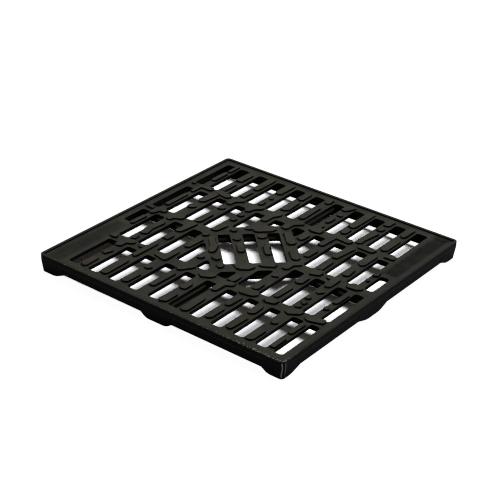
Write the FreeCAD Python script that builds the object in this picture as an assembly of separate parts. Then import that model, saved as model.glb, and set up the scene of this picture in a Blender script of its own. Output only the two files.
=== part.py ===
import FreeCAD, Part
import math
import os

os.makedirs("parts", exist_ok=True)
V = FreeCAD.Vector

# A square cast iron grating, written as the members that its pattern maker would build it from.
# X runs across the slots, Y along them and Z up. The origin is under the centre, at the soles of the feet.
# All sizes are in millimetres.

# the slotted deck
slot_width = 17.0
slot_length = 79.5
slot_corner = 4.0
corner_steps = 4             # the rounded corners inside the deck turn in this many straight steps
bar_width = 17.1
crossbar_width = 17.0
slots_each_side = 5          # full width slots on each side of the middle bar
edge_bar_width = 10.6
edge_slot_width = 13.9       # the narrower slot nearest to each side wall
short_slot_length = 42.0     # the edge slot that ends at a blank plate
side_margin = 13.55          # from the edge slot to the side face
end_margin = 15.5            # from the outer rows of slots to the end face
deck_thickness = 6.0
slot_taper = 1.5             # how far each side of a slot draws back towards the underside

# the outer walls
wall_height = 19.8
lip_width = 4.0
lip_height = 2.2             # the lip and the raised pads stand this far above the deck
outer_corner = 6.0
band_height = 8.5            # upright band under the lip, down to the parting line
parting_step = 0.6
outer_draft = 1.0
wall_draft = 1.6             # draft of the walls' inner faces

# the feet
foot_height = 6.2
corner_foot_length = 38.5    # along each of the two walls that meet at the corner
side_foot_length = 56.0
foot_ramp = 14.0
foot_bulge = 0.6             # how far the ramp's middle bulges below a straight slope
foot_step = 0.1              # from the lip's face in to the foot's face at the parting line
foot_draft = 1.9
foot_reach = 14.0            # how far in from the outer face the foot blocks are taken

# the square set on its corner in the middle of the deck, with its three slots
diamond_slot_length = 82.0
diamond_slot_corner = 3.0
diamond_side_border = 18.6
diamond_end_border = 20.2
diamond_corner = 3.0
diamond_depth = 13.5         # from the deck down to its underside
diamond_taper = 1.85

# the four deep ribs between the diamond and the walls
rib_depth = 14.5
rib_taper = 0.4

# the two blank plates
plate_recess_width = 25.0
plate_recess_gap = 7.5       # deck left between the short slot and the recess
plate_recess_depth = 1.2
plate_recess_corner = 8.0
plate_recess_slope = 2.0

# the raised pads
pad_unit = 1.0               # what the pads' radii and points further down are counted in

# levels
z_wall = foot_height
z_top = z_wall + wall_height
z_deck = z_top - lip_height
z_under = z_deck - deck_thickness
z_parting = z_top - band_height

# places that follow from the sizes above
pitch = slot_width + bar_width
row_pitch = slot_length + crossbar_width
edge_bar_centre = bar_width / 2 + slots_each_side * slot_width \
    + (slots_each_side - 1) * bar_width + edge_bar_width / 2
edge_slot_centre = edge_bar_centre + edge_bar_width / 2 + edge_slot_width / 2
half_width = edge_slot_centre + edge_slot_width / 2 + side_margin
half_depth = row_pitch + slot_length + crossbar_width / 2 + end_margin
slot_columns = [(k + 0.5) * pitch for k in range(-slots_each_side, slots_each_side)]
columns = [-edge_slot_centre] + slot_columns + [edge_slot_centre]
rows = [1.5 * row_pitch, 0.5 * row_pitch, -0.5 * row_pitch, -1.5 * row_pitch]
crossbars = [row_pitch, 0.0, -row_pitch]
stub = slot_length / 2 - slot_corner
diamond_half_width = 1.5 * slot_width + bar_width + diamond_side_border
diamond_half_length = diamond_slot_length / 2 + diamond_end_border
diamond_reach = (diamond_half_width + diamond_half_length) / math.sqrt(2)
clip_overlap = 0.6           # how far a clipped slot reaches into the square's side
open_top = 1.0               # how far the cutting tools stand clear above the deck


def box(x0, x1, y0, y1, z0, z1):
    return Part.makeBox(x1 - x0, y1 - y0, z1 - z0, V(x0, y0, z0))


def rounded_rectangle(cx, cy, z, length_x, length_y, radius):
    """A closed wire of four lines and four quarter arcs."""
    hx = length_x / 2
    hy = length_y / 2
    corners = [(hx, hy, 0), (-hx, hy, 90), (-hx, -hy, 180), (hx, -hy, 270)]
    arcs = []
    for x, y, start in corners:
        centre = V(cx + x - math.copysign(radius, x), cy + y - math.copysign(radius, y), z)
        circle = Part.Circle(centre, V(0, 0, 1), radius)
        arcs.append(Part.Arc(circle, math.radians(start), math.radians(start + 90)).toShape())
    edges = []
    for arc, following in zip(arcs, arcs[1:] + arcs[:1]):
        edges.append(arc)
        edges.append(Part.makeLine(arc.Vertexes[-1].Point, following.Vertexes[0].Point))
    return Part.Wire(edges)


def drafted(cx, cy, z0, size0, z1, size1):
    """A solid between two rounded rectangles; each size is (length_x, length_y, radius)."""
    return Part.makeLoft([rounded_rectangle(cx, cy, z0, *size0), rounded_rectangle(cx, cy, z1, *size1)],
                         True, True)


def stepped_corners(core, radius, z):
    """Points at one distance around a core, whose own points are the middles of the rounded corners."""
    points = []
    for before, here, after in zip(core[-1:] + core[:-1], core, core[1:] + core[:1]):
        start = math.atan2(here.y - before.y, here.x - before.x) - math.pi / 2
        end = math.atan2(after.y - here.y, after.x - here.x) - math.pi / 2
        turn = (end - start) % (2 * math.pi)
        for step in range(corner_steps + 1):
            angle = start + turn * step / corner_steps
            points.append(V(here.x + radius * math.cos(angle), here.y + radius * math.sin(angle), z))
    return points


def flat_face(points):
    return Part.Face(Part.makePolygon(points + points[:1]))


def oblong_core(cx, cy, length_x, length_y, corner):
    """The middles of an oblong's four corner rounds, counter-clockwise."""
    hx = length_x / 2 - corner
    hy = length_y / 2 - corner
    return [V(cx + hx, cy + hy, 0), V(cx - hx, cy + hy, 0), V(cx - hx, cy - hy, 0), V(cx + hx, cy - hy, 0)]


def stepped_block(core, radius_high, z_high, radius_low, z_low):
    """A tapered solid between two levels; its corners keep their middles while their radius changes."""
    high = stepped_corners(core, radius_high, z_high)
    low = stepped_corners(core, radius_low, z_low)
    faces = [flat_face(high), flat_face(low)]
    for i in range(len(high)):
        faces.append(flat_face([high[i - 1], high[i], low[i], low[i - 1]]))
    return Part.makeSolid(Part.makeShell(faces))


def turned(shape, angle):
    return shape.rotated(V(0, 0, 0), V(0, 0, 1), angle)


def joined(solids):
    return solids[0] if len(solids) == 1 else solids[0].multiFuse(solids[1:])


def write(name, solids):
    """One STEP file holds one node: a single solid or a group of separate solids."""
    shape = solids[0] if len(solids) == 1 else Part.makeCompound(solids)
    for solid in shape.Solids:
        if not solid.isValid():
            raise ValueError(name + " has a broken solid")
    shape.exportStep("parts/" + name + ".step")
    print("%-22s %3d solids %10.0f mm3" % (name, len(shape.Solids), shape.Volume))


# the square in the middle of the deck

def diamond_block(z_high, z_low):
    """The square's outer body between two levels; it draws in as it goes down."""
    core = oblong_core(0, 0, 2 * diamond_half_length, 2 * diamond_half_width, diamond_corner)
    high, low = (diamond_corner - diamond_taper * (z_deck - z) / diamond_depth for z in (z_high, z_low))
    return turned(stepped_block(core, high, z_high, low, z_low), -45)


def diamond_slot(offset):
    """One of the square's own slots, in the square's own directions before it is turned."""
    core = oblong_core(0, offset, diamond_slot_length, slot_width, diamond_slot_corner)
    z_high = z_deck + open_top
    z_low = z_deck - diamond_depth - open_top
    high, low = (diamond_slot_corner + diamond_taper * (z_deck - z) / diamond_depth for z in (z_high, z_low))
    return stepped_block(core, high, z_high, low, z_low)


# the slots, as solids that are cut out of the deck

def clear_of_square(core):
    """What is left of a slot's core when its new corners are rounded into the square's side."""
    least = diamond_reach - clip_overlap + slot_corner * math.sqrt(2)
    kept = []
    for here, after in zip(core, core[1:] + core[:1]):
        spare, spare_after = (abs(point.x) + abs(point.y) - least for point in (here, after))
        if spare >= 0:
            kept.append(here)
        if spare * spare_after < 0:
            kept.append(here + (after - here) * (spare / (spare - spare_after)))
    return kept


def slot(cx, cy, width, length):
    """The slot widens downwards, so that the sand mould draws and dirt falls through."""
    core = clear_of_square(oblong_core(cx, cy, width, length, slot_corner))
    shrink = slot_taper * open_top / deck_thickness
    return stepped_block(core, slot_corner - shrink, z_deck + open_top, slot_corner + slot_taper, z_under)


def all_slots():
    """Every slot outside the diamond; the two blank plates each take one slot and shorten another."""
    found = []
    for row, cy in enumerate(rows):
        for cx in columns:
            left, right = cx == columns[0], cx == columns[-1]
            width = edge_slot_width if left or right else slot_width
            if (row == 0 and right) or (row == 3 and left):
                continue
            if (row == 1 and right) or (row == 2 and left):
                middle = math.copysign((crossbar_width + short_slot_length) / 2, cy)
                found.append(slot(cx, middle, width, short_slot_length))
            else:
                found.append(slot(cx, cy, width, slot_length))
    return found


slots = all_slots()
diamond = diamond_block(z_deck, z_deck - diamond_depth)


def without(solid, tools):
    """The solid less those tools whose boxes it meets."""
    for tool in tools:
        if solid.Solids and tool.BoundBox.intersect(solid.BoundBox):
            solid = solid.cut(tool)
    return solid


# the feet: short lobes that carry the walls down to the ground

def foot_shell(z_high, z_low):
    """A ring under the walls; its outer face follows one draft from the parting line to the soles."""
    sizes = []
    for z in (z_high, z_low):
        inset = foot_step + foot_draft * (z_parting - z) / z_parting
        sizes.append((2 * (half_width - inset), 2 * (half_depth - inset), outer_corner - inset))
    inner_x = half_width - side_margin + slot_taper + wall_draft
    inner_y = half_depth - end_margin + slot_taper + wall_draft
    shell = drafted(0, 0, z_high, sizes[0], z_low, sizes[1])
    return shell.cut(box(-inner_x, inner_x, -inner_y, inner_y, z_low, z_high))


def foot_block(place, far, length):
    """A foot on the front wall: level sole, bulging ramps up to the wall and a straight lobe above."""
    half = length / 2
    sole = half - foot_ramp
    middle = sole + foot_ramp / 2
    z_middle = z_wall / 2 - foot_bulge
    left = Part.Arc(V(-half, 0, z_wall), V(-middle, 0, z_middle), V(-sole, 0, 0)).toShape()
    right = Part.Arc(V(sole, 0, 0), V(middle, 0, z_middle), V(half, 0, z_wall)).toShape()
    outline = Part.Wire([Part.makeLine(V(-half, 0, z_parting), V(-half, 0, z_wall)), left,
                         Part.makeLine(V(-sole, 0, 0), V(sole, 0, 0)), right,
                         Part.makeLine(V(half, 0, z_wall), V(half, 0, z_parting)),
                         Part.makeLine(V(half, 0, z_parting), V(-half, 0, z_parting))])
    block = Part.Face(outline).extrude(V(0, foot_reach, 0))
    block.translate(V(place, -far, 0))
    return block


def foot_shapes(blocks, z_high, z_low):
    """The part of the shell inside the given blocks, between two levels."""
    return foot_shell(z_high, z_low).common(joined(blocks))


def corner_foot_blocks():
    """Each corner's foot is an arm along each of its two walls."""
    blocks = []
    for angle, far, along in ((0, half_depth, half_width), (90, half_width, half_depth)):
        for place in (-along, along):
            block = foot_block(place, far, 2 * corner_foot_length)
            blocks += [turned(block, angle), turned(block, angle + 180)]
    return blocks


def side_foot_blocks():
    """One foot in the middle of each wall."""
    blocks = []
    for angle, far in ((0, half_depth), (90, half_width)):
        block = foot_block(0, far, side_foot_length)
        blocks += [turned(block, angle), turned(block, angle + 180)]
    return blocks


# the outer walls, made as one ring and parted at the mitres

def outer_ring():
    top = (2 * half_width, 2 * half_depth, outer_corner)
    step = 2 * parting_step
    low = 2 * outer_draft
    band = drafted(0, 0, z_top, top, z_parting, top)
    skirt = drafted(0, 0, z_parting, (top[0] - step, top[1] - step, outer_corner - parting_step),
                    z_wall, (top[0] - step - low, top[1] - step - low,
                             outer_corner - parting_step - outer_draft))
    above_deck = box(-half_width + lip_width, half_width - lip_width,
                     -half_depth + lip_width, half_depth - lip_width, z_deck, z_top + open_top)
    field_x = half_width - side_margin - slot_corner
    field_y = half_depth - end_margin - slot_corner
    field = box(-field_x, field_x, -field_y, field_y, z_under, z_deck + open_top)
    core = oblong_core(0, 0, 2 * (half_width - side_margin + slot_taper),
                       2 * (half_depth - end_margin + slot_taper), slot_corner)
    hollow = stepped_block(core, slot_corner, z_under, slot_corner + wall_draft, z_wall)
    lobes = [foot_shapes(corner_foot_blocks(), z_parting, z_wall),
             foot_shapes(side_foot_blocks(), z_parting, z_wall)]
    return band.fuse([skirt] + lobes).cut([above_deck, field, hollow])


def mitred_side(angle):
    """A block over the side that faces the given way, with its ends cut at the mitres of the corners."""
    across, along = (half_width, half_depth) if angle % 180 == 0 else (half_depth, half_width)
    deep = 2 * end_margin
    block = flat_face([V(across, -along, 0), V(across, along, 0),
                       V(across - deep, along - deep, 0), V(across - deep, deep - along, 0)])
    return turned(block.extrude(V(0, 0, z_top)), angle)


# the deck's own members

def deck_block(x0, x1, y0, y1):
    return box(x0, x1, y0, y1, z_under, z_deck)


def plate_block(side):
    """The piece of deck that a blank plate fills: side is -1 for the left front one, 1 for the right back."""
    slot_end = crossbar_width / 2 + short_slot_length - slot_corner
    block = deck_block(lip_width - half_width, edge_bar_width / 2 - edge_bar_centre,
                       lip_width - half_depth, -slot_end)
    return block if side < 0 else turned(block, 180)


plates = {side: plate_block(side) for side in (-1, 1)}


def blank_plate(side):
    """A bare shallow tray with sloping sides, cut into its piece of the deck."""
    slot_end = crossbar_width / 2 + short_slot_length
    near = -slot_end - plate_recess_gap
    far = lip_width - half_depth
    length = near - far
    core = oblong_core(-edge_slot_centre, (near + far) / 2, plate_recess_width, length, plate_recess_corner)
    tray = stepped_block(core, plate_recess_corner, z_deck,
                         plate_recess_corner - plate_recess_slope, z_deck - plate_recess_depth)
    if side > 0:
        tray = turned(tray, 180)
    return without(plates[side].cut(tray), slots)


def crossbar(cy):
    """A bar across the deck, with the stubs that carry the rounded ends of the slots on both sides."""
    reach = half_width - side_margin - slot_corner
    half = crossbar_width / 2 + slot_corner
    bar = deck_block(-reach, reach, cy - half, cy + half)
    if cy:
        towards_middle = math.copysign(row_pitch - diamond_reach + bar_width, cy)
        ends = sorted((cy, cy - towards_middle))
        bar = bar.fuse(deck_block(-pitch / 2, pitch / 2, *ends))
    return without(bar, slots + [diamond] + list(plates.values()))


def row_of_bars(row):
    """The bars between the slots of one row, less the stubs at their ends."""
    bars = []
    for left, right in zip(columns, columns[1:]):
        middle_bar = abs(left + right) < 1e-6
        if row in (1, 2) and middle_bar:
            continue
        block = deck_block(left, right, rows[row] - stub, rows[row] + stub)
        bars.extend(without(block, slots + [diamond] + list(plates.values())).Solids)
    return bars


def deep_rib(length_from, length_to, top_width):
    """A rib under the deck, drawn along +X between two distances from the centre."""
    low = top_width - 2 * rib_taper
    z_low = z_deck - rib_depth
    section = [V(length_from, -top_width / 2, z_under), V(length_from, top_width / 2, z_under),
               V(length_from, low / 2, z_low), V(length_from, -low / 2, z_low)]
    return flat_face(section).extrude(V(length_to - length_from, 0, 0))


def rib(angle, ring):
    """A deep rib from the diamond's corner to the wall, facing the way the angle says."""
    along_slots = angle % 180 != 0
    width = (bar_width if along_slots else crossbar_width) - 2 * slot_taper
    far = half_depth - end_margin / 2 if along_slots else half_width - side_margin / 2
    corner = diamond_block(z_deck, z_deck - rib_depth)
    return turned(deep_rib(diamond_reach / 2, far, width), angle).cut([corner, ring])


# the square's members

def diamond_members():
    """The square, parted into its ends, its sides and the two bars between its slots."""
    cutters = [diamond_slot(k * pitch) for k in (-1, 0, 1)]
    straight = turned(diamond, 45)
    seam = diamond_slot_length / 2 - diamond_slot_corner
    z_low = z_deck - diamond_depth
    half_bar = pitch / 2
    far = diamond_half_length
    ends, sides, bars = [], [], []
    for sign in (-1, 1):
        x0, x1 = sorted((sign * seam, sign * far))
        ends.append(straight.common(box(x0, x1, -far, far, z_low, z_deck)))
        y0, y1 = sorted((sign * pitch, sign * far))
        sides.append(straight.common(box(-seam, seam, y0, y1, z_low, z_deck)))
        y0, y1 = sorted((0, sign * pitch))
        bars.append(box(-seam, seam, y0, y1, z_under, z_deck))
    return [[turned(without(piece, cutters), -45) for piece in group] for group in (ends, sides, bars)]


# the raised pads, which stand as high as the lip
# each line holds a bar's number, the pad's radius and the points that its middle passes through, in pad
# units; x is measured from that bar's middle, y from the middle of the row or crossbar

pads = {}
pads["row_1"] = [
    (-5, 3.2, [(-1, 40), (-1, 20)]),
    (-5, 3.2, [(-1, 10.5), (-1, -17)]),
    (-4, 5.5, [(-2, 28), (-2, 7)]),
    (-4, 4, [(-1, -12), (-1, -34)]),
    (-3, 5.5, [(-0.5, 35), (-0.5, 1)]),
    (-3, 4.5, [(-1.5, -16), (-1.5, -31)]),
    (-2, 5.5, [(-2, 37), (-2, 12)]),
    (-2, 3.8, [(-1, -10)]),
    (-2, 3.3, [(-1, -28), (-1, -33.5)]),
    (-1, 5, [(-1.5, 34), (-1.5, 17)]),
    (-1, 5.5, [(0, 1), (0, -23)]),
    (0, 5, [(-0.5, 38), (-0.5, 33)]),
    (0, 5, [(-1, 7), (-1, -29)]),
    (1, 4.8, [(2, 40), (-2, 32)]),
    (1, 4, [(1.5, 11)]),
    (1, 4, [(-0.5, -4), (-0.5, -15)]),
    (1, 3, [(0.5, -34)]),
    (2, 5.3, [(-1, 41), (-1, -4.5)]),
    (2, 5.5, [(-0.5, -19), (-0.5, -26)]),
    (3, 4.5, [(-0.5, 41), (-0.5, 31)]),
    (3, 4.5, [(0, 14), (0, 13)]),
    (3, 4.5, [(0.5, -3), (-3, -32), (-2, -36)]),
    (4, 5, [(0, 38), (0, 18)]),
    (4, 5.5, [(0, -2), (0, -31)]),
]
pads["row_2"] = [
    (-5, 3.2, [(-1.5, 15.5), (-1.5, -25)]),
    (-4, 5, [(-1, 41), (-2.5, 16)]),
    (-4, 5.5, [(-2.5, -7)]),
    (-3, 5, [(-1.5, 17)]),
    (-3, 5.3, [(-1, -10.5), (-1, -34)]),
    (-2, 4.7, [(-1.5, 17)]),
    (-2, 4.6, [(-1.5, -1)]),
    (-2, 5, [(0.5, -26), (-1.5, -39)]),
    (1, 5.5, [(0, 27), (0, 17)]),
    (2, 4.5, [(1, -1), (1, -17)]),
    (3, 5, [(0, 35), (-3, 4.5)]),
    (3, 3.5, [(0.5, -13), (0.5, -35)]),
    (4, 5, [(1, 37), (1, 12)]),
    (4, 4.8, [(0.5, -13), (0.5, -24.5)]),
    (5, 3.2, [(-1, 5.5), (-1, -2.5)]),
    (5, 3, [(-1, -20)]),
]
pads["row_3"] = [
    (-5, 3, [(-2, 21), (-2, -3)]),
    (-4, 5, [(-1, 21), (-3, 1), (-0.5, -13)]),
    (-4, 3.2, [(-1.5, -29), (-1.5, -35.5)]),
    (-3, 5.3, [(-1.5, 0), (-1.5, -5)]),
    (-3, 4.5, [(-2, -29), (-2, -69)]),
    (-2, 4.8, [(1, 19.5), (1, -4)]),
    (-2, 5, [(-1, -29), (0, -47)]),
    (-2, 5, [(-14, -47), (0, -51)]),
    (-1, 5, [(-2, -16)]),
    (1, 5.2, [(-0.5, -28), (-0.5, -36.5)]),
    (2, 4.8, [(1, 9)]),
    (2, 3.5, [(1, -22), (1, -34)]),
    (3, 5, [(-0.5, 27), (-0.5, 16)]),
    (3, 4.5, [(-1.5, -7), (-1.5, -31)]),
    (4, 4.5, [(0, 12)]),
    (4, 4, [(-3.5, -9)]),
    (4, 4.3, [(0, -23)]),
    (4, 3.2, [(0, -34)]),
    (5, 3.4, [(-0.5, 26), (-0.5, 3.5)]),
    (5, 3.5, [(-1, -16)]),
]
pads["row_4"] = [
    (-4, 4.8, [(-1.5, 12), (-3, 7)]),
    (-4, 5, [(-1, -15), (-1, -34)]),
    (-3, 5.7, [(-1, 4), (-1, -31.5)]),
    (-2, 4.8, [(-1.5, 14)]),
    (-2, 5.3, [(-0.5, -10.5), (-0.5, -30)]),
    (-1, 5, [(-1.5, 20), (-1.5, -14)]),
    (0, 4.8, [(-0.5, 14), (-0.5, 4.5)]),
    (0, 5, [(-0.5, -19), (-0.5, -35)]),
    (1, 5.2, [(-0.5, -5.5), (-0.5, -35)]),
    (2, 4.5, [(-1, 28), (-1, 10)]),
    (2, 5, [(-1, -7), (-1, -28)]),
    (3, 4.8, [(-0.5, 28), (-0.5, 14.5)]),
    (3, 4.5, [(0, -6), (0, -31)]),
    (4, 4.2, [(0, 12)]),
    (4, 5.5, [(-0.5, -15), (-0.5, -34)]),
    (5, 3.3, [(-1, 29.5), (-1, 6)]),
    (5, 3.5, [(-0.5, -13), (-0.5, -33)]),
]
pads["crossbar_back"] = [
    (-5, 3, [(-18, 4.5)]),
    (-5, 4.5, [(15, 3.5), (-2, 2.5)]),
    (-5, 2.8, [(-2.5, 2.5), (-2, -18)]),
    (-4, 5.5, [(0, 4), (16.5, 2)]),
    (-3, 4.7, [(5.5, 3.5), (-1.5, -3.5), (-2, -12.5)]),
    (-2, 4.7, [(7, 3.5), (-1, -3.5), (-3, -13.5)]),
    (-1, 5, [(3, 2.5), (-2, -6.5), (-2, -20.5)]),
    (0, 5.2, [(8, 2.5), (0, -5.5), (-1.5, -20.5)]),
    (1, 7.8, [(0, 1.5), (5, 2)]),
    (2, 5, [(20.5, 2.5), (-0.5, 3)]),
    (2, 4, [(-2, 0.5), (-2.5, -27.5)]),
    (3, 5.7, [(8.5, 2.5), (23.5, 2)]),
    (4, 5.5, [(17, 2.5), (21.5, 2.5)]),
]
pads["centre"] = [
    (-5, 4, [(-18, 2), (-11, 1.5)]),
    (-5, 4.3, [(9.5, 3.5), (1, 2), (-1.5, -9)]),
    (-4, 5.8, [(7.5, 3.5), (-1, 2.5), (-1.5, -5.5)]),
    (-3, 5, [(0.5, 0), (-2.5, -25)]),
    (-2, 5.3, [(-3, -11)]),
    (2, 4.3, [(5, 3), (-1.5, -3), (-1.5, -14.5)]),
    (3, 6.8, [(1, 0.5), (4, 1.5)]),
    (4, 5.2, [(-10.5, 2.5), (-2.5, 1), (-1.5, -15)]),
    (5, 6, [(-8.5, 1.5), (0.5, 4)]),
]
pads["crossbar_front"] = [
    (-5, 5.5, [(6, 1)]),
    (-4, 5, [(5.5, 2.5), (-2.5, -2.5), (-3, -13)]),
    (-3, 4, [(-11.5, 1.5)]),
    (-1, 5, [(6, 3.5), (-2, -9.5)]),
    (0, 6.5, [(5, 2.5), (-2, -2)]),
    (1, 4.7, [(6.5, 2), (-2, -3.5), (-3, -21.5)]),
    (2, 7, [(-3, -1), (7, 2)]),
    (3, 7, [(-1.5, 2), (3, 3)]),
    (4, 6, [(-0.5, -4.5), (7.5, 2)]),
    (5, 5.2, [(-5, 0), (0, -1.5), (12, 2)]),
]
pads["diamond"] = [
    (0, 8.7, [(-15, 57.5), (-25, 48)]),
    (0, 4.5, [(-26.5, 52), (-38, 40)]),
    (0, 5.5, [(-8, 34)]),
    (0, 5, [(-49, 24)]),
    (0, 4.5, [(-30, 6)]),
    (0, 5.5, [(14, 62), (31.5, 45.5)]),
    (0, 6, [(49, 27), (61.5, 15.5)]),
    (0, 2.8, [(10, 20), (16.5, 15)]),
    (0, 4.5, [(13, 13), (26, 1.5)]),
    (0, 4.3, [(-17, -5), (-5.5, -16.5)]),
    (0, 9.5, [(20, -49.5), (26, -45.5)]),
    (0, 8, [(39.5, -15.5), (46, -24)]),
    (0, 4.5, [(-56, -17), (-45, -27)]),
    (0, 5.2, [(-40, -28.5), (-35.5, -42)]),
    (0, 5, [(-20, -54.5), (-17, -54)]),
    (0, 5.5, [(-1, -67)]),
]
pad_levels = {"row_1": rows[0], "row_2": rows[1], "row_3": rows[2], "row_4": rows[3],
              "crossbar_back": crossbars[0], "centre": crossbars[1], "crossbar_front": crossbars[2],
              "diamond": crossbars[1]}


def straight_pad(start, end, radius):
    """A raised pad along one straight line, eight sided to keep the many small pads plain."""
    heading = math.atan2(end.y - start.y, end.x - start.x)
    reach = radius / math.cos(math.pi / 8)
    corners = []
    for step in range(8):
        angle = heading + math.radians(22.5 + 45 * step)
        centre = start if 2 <= step <= 5 else end
        corners.append(centre + V(reach * math.cos(angle), reach * math.sin(angle), 0))
    return flat_face(corners).extrude(V(0, 0, lip_height))


def raised_pads(name):
    """All pads of one row or crossbar; where two of them meet they become one."""
    found = []
    for bar, radius, points in pads[name]:
        middle = math.copysign(edge_bar_centre, bar) if abs(bar) == slots_each_side else bar * pitch
        path = [V(middle + x * pad_unit, pad_levels[name] + y * pad_unit, z_deck) for x, y in points]
        for start, end in zip(path, path[1:] or path):
            found.append(straight_pad(start, end, radius * pad_unit))
    return joined(found).removeSplitter().Solids


# write the nodes

ring = outer_ring()
for name, angle in (("wall_right", 0), ("wall_back", 90), ("wall_left", 180), ("wall_front", 270)):
    side = ring.common(mitred_side(angle))
    write(name, without(side, slots + list(plates.values())).Solids)
write("blank_plate_left", [blank_plate(-1)])
write("blank_plate_right", [blank_plate(1)])
write("crossbar_back", crossbar(crossbars[0]).Solids)
write("crossbar_front", crossbar(crossbars[2]).Solids)
middle = crossbar(crossbars[1]).Solids
middle.sort(key=lambda solid: solid.CenterOfMass.x)
write("centre_bar_left", middle[:1])
write("centre_bar_right", middle[1:])
for row in range(4):
    write("bars_row_%d" % (row + 1), row_of_bars(row))
for name, angle in (("rib_right", 0), ("rib_back", 90), ("rib_left", 180), ("rib_front", 270)):
    write(name, rib(angle, ring).Solids)
for name, pieces in zip(("diamond_ends", "diamond_sides", "diamond_bars"), diamond_members()):
    write(name, pieces)
write("corner_feet", foot_shapes(corner_foot_blocks(), z_wall, 0.0).Solids)
write("side_feet", foot_shapes(side_foot_blocks(), z_wall, 0.0).Solids)
for name in pads:
    write("pads_" + name, raised_pads(name))
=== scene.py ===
import bpy
import math
from mathutils import Matrix, Vector


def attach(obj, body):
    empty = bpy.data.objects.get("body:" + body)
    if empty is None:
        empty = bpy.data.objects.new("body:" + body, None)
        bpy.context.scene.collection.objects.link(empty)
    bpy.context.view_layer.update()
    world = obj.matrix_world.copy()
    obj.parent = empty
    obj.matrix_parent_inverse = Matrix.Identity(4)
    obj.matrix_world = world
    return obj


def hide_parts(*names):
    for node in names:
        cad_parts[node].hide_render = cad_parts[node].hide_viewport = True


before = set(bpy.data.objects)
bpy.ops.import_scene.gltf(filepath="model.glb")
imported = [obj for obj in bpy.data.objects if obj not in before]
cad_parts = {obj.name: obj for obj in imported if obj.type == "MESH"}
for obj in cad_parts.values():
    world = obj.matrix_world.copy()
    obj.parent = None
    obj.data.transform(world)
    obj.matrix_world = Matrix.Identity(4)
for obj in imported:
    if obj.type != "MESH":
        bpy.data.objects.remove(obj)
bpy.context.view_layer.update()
mm = 0.001
print("frame loaded")


# levels and steps of the casting that several pieces share, in millimetres
casting = {
    "half": 200.0,             # from the middle to the outer faces
    "top": 26.0,               # lip and pads
    "deck": 23.8,
    "deckUnder": 17.8,
    "wallBottom": 6.2,
    "partingLine": 17.5,
    "pitch": 34.1,             # slot to slot
    "edgeBar": 167.25,         # middle of the narrow bars beside the walls
    "edgeSlot": 179.5,         # middle of the narrow slots beside the walls
    "rowPitch": 96.5,
    "squareHalf": 61.2,        # the turned square's half side
}
rowMiddles = {1: 144.75, 2: 48.25, 3: -48.25, 4: -144.75}
squareReach = casting["squareHalf"] * math.sqrt(2)


# small helpers for modelling by operators

def deselectAll():
    if bpy.context.mode != "OBJECT":
        bpy.ops.object.mode_set(mode="OBJECT")
    bpy.ops.object.select_all(action="DESELECT")


def activate(piece):
    deselectAll()
    piece.select_set(True)
    bpy.context.view_layer.objects.active = piece


def selectIn(piece, kind, test):                  # kind is vertices, edges or polygons
    activate(piece)
    bpy.ops.object.mode_set(mode="EDIT")
    bpy.ops.mesh.select_mode(type={"vertices": "VERT", "edges": "EDGE", "polygons": "FACE"}[kind])
    bpy.ops.mesh.select_all(action="DESELECT")
    bpy.ops.object.mode_set(mode="OBJECT")
    for part in getattr(piece.data, kind):
        part.select = test(part)
    bpy.ops.object.mode_set(mode="EDIT")


def edgeEnds(piece, edge):                        # in millimetres
    return [piece.data.vertices[i].co / mm for i in edge.vertices]


def isUpright(a, b):                              # the edge between two points in millimetres
    return abs(a.z - b.z) > 1


def addBlock(name, low, high):                    # corners in millimetres
    deselectAll()
    low, high = Vector(low) * mm, Vector(high) * mm
    bpy.ops.mesh.primitive_cube_add(size=1, location=(low + high) / 2)
    piece = bpy.context.object
    piece.name = name
    piece.scale = high - low
    bpy.ops.object.transform_apply(location=True, rotation=True, scale=True)
    return piece


def copyOf(piece, name, turn=0.0, move=(0, 0, 0)):    # moved first, then turned about the middle
    twin = piece.copy()
    twin.data = piece.data.copy()
    twin.name = name
    bpy.context.collection.objects.link(twin)
    twin.data.transform(Matrix.Rotation(math.radians(turn), 4, "Z") @ Matrix.Translation(Vector(move) * mm))
    return twin


def joinAll(pieces, name):
    deselectAll()
    for piece in pieces:
        piece.select_set(True)
    bpy.context.view_layer.objects.active = pieces[0]
    if len(pieces) > 1:
        bpy.ops.object.join()
    pieces[0].name = name
    return pieces[0]


def combine(piece, tool, operation="DIFFERENCE"):
    activate(piece)
    step = piece.modifiers.new("combine", "BOOLEAN")
    step.object = tool
    step.operation = operation
    step.solver = "EXACT"
    bpy.ops.object.modifier_apply(modifier=step.name)
    bpy.data.objects.remove(tool)
    return piece


def cleanMesh(piece):
    activate(piece)
    bpy.ops.object.mode_set(mode="EDIT")
    bpy.ops.mesh.select_all(action="SELECT")
    bpy.ops.mesh.remove_doubles(threshold=0.02 * mm)
    bpy.ops.mesh.dissolve_limited(angle_limit=math.radians(0.5))
    bpy.ops.object.mode_set(mode="OBJECT")


def bevelEdges(piece, width, segments, test):     # test takes an edge's two ends in millimetres
    selectIn(piece, "edges", lambda edge: test(*edgeEnds(piece, edge)))
    bpy.ops.mesh.bevel(offset=width * mm, segments=segments, affect="EDGES", clamp_overlap=True)
    bpy.ops.object.mode_set(mode="OBJECT")


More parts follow.
